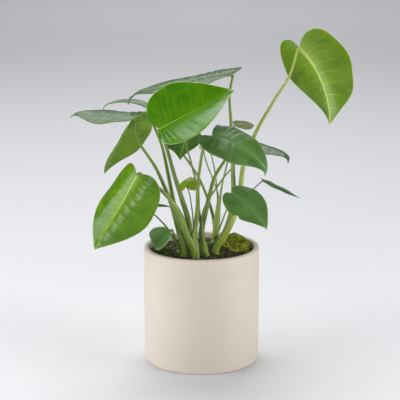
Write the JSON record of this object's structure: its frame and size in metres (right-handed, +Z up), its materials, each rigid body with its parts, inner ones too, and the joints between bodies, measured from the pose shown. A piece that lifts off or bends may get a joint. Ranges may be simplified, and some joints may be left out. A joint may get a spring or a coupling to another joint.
{
  "type": "potted monstera plant",
  "caption": "Young monstera with heart-shaped leaves on long arching petioles, in a plain round stoneware pot.",
  "frame": {"origin": "centre of the pot's flat underside", "axes": "+Z up, -Y towards the picture's viewer, +X to the viewer's right"},
  "size_m": [0.3657, 0.1932, 0.4325],
  "materials": {
    "pot_stoneware": "matte",
    "potting_soil": "matte",
    "moss_yellow_green": "matte",
    "moss_dark_green": "matte",
    "petioles": "satin",
    "leaf_bright_green": "satin",
    "leaf_dark_green": "satin",
    "leaf_yellow_green": "satin"
  },
  "bodies": {
    "root": {"pot": "pot_stoneware", "soil": "potting_soil", "moss_right": "moss_yellow_green", "moss_left": "moss_dark_green", "shoot_front": "petioles", "shoot_front_left": "petioles", "shoot_front_right": "petioles", "shoot_right": "petioles", "shoot_back": "petioles", "shoot_left": "petioles", "leaf_centre": "leaf_bright_green", "leaf_top_back": "leaf_dark_green", "leaf_left_back": "leaf_dark_green", "leaf_left_hanging": "leaf_yellow_green", "leaf_right_centre": "leaf_dark_green", "leaf_far_left": "leaf_dark_green", "leaf_top_right": "leaf_yellow_green", "leaf_lower_right": "leaf_dark_green", "leaf_lower_left": "leaf_bright_green", "leaf_rim_left": "leaf_dark_green", "leaf_under_centre": "leaf_dark_green", "leaf_small_middle": "leaf_yellow_green", "leaf_right_back": "leaf_dark_green", "leaf_small_right": "leaf_yellow_green", "leaf_thin_right": "leaf_dark_green", "leaf_behind_left": "leaf_dark_green", "leaf_behind_right": "leaf_dark_green", "leaf_behind_centre": "leaf_dark_green", "leaf_behind_middle": "leaf_yellow_green"}
  },
  "joints": []
}
